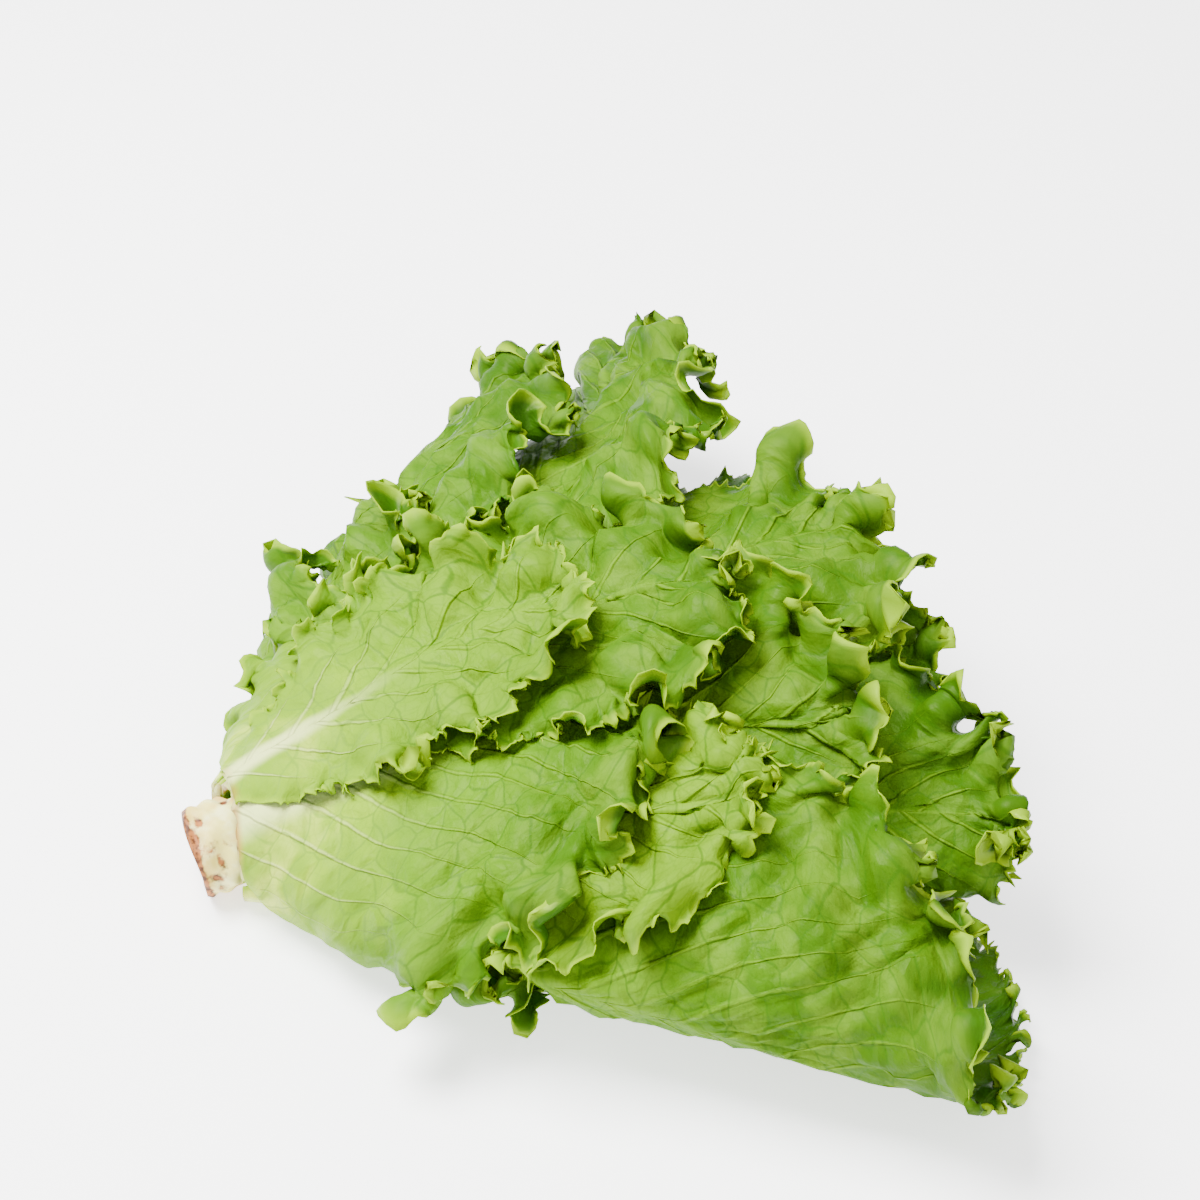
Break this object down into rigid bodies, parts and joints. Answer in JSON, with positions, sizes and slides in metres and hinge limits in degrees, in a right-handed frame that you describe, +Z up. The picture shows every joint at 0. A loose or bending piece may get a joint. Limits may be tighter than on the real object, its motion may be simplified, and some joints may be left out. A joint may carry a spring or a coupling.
{
  "type": "green leaf lettuce",
  "caption": "Loose head of green leaf lettuce with frilled leaves fanned out from its cut stump, lying on its side as set down after it was picked.",
  "frame": {"origin": "on the table, under the middle of the head's box", "axes": "+Z up from the table the head lies on; the stump is at -X and the leaves fan out from it towards +X, with the head's middle line turned 18 degrees from +X towards +Y"},
  "size_m": [0.2868, 0.394, 0.1076],
  "materials": {
    "leaf": "satin green blade, paler at the base and at the ribs",
    "heart_leaf": "satin pale green blade",
    "stump": "matte cream flesh with a browned rim at the cut"
  },
  "bodies": {
    "root": {"stump": "stump", "heart_leaf_1": "heart_leaf", "heart_leaf_2": "heart_leaf", "inner_leaf_1": "leaf", "inner_leaf_2": "leaf", "inner_leaf_3": "leaf", "inner_leaf_4": "leaf", "middle_leaf_1": "leaf", "middle_leaf_2": "leaf", "middle_leaf_3": "leaf", "outer_leaf_1": "leaf", "outer_leaf_2": "leaf", "outer_leaf_3": "leaf", "outer_leaf_4": "leaf", "outer_leaf_5": "leaf", "outer_leaf_6": "leaf", "outer_leaf_7": "leaf", "outer_leaf_8": "leaf", "outer_leaf_9": "leaf", "outer_leaf_10": "leaf", "outer_leaf_11": "leaf"}
  },
  "joints": []
}
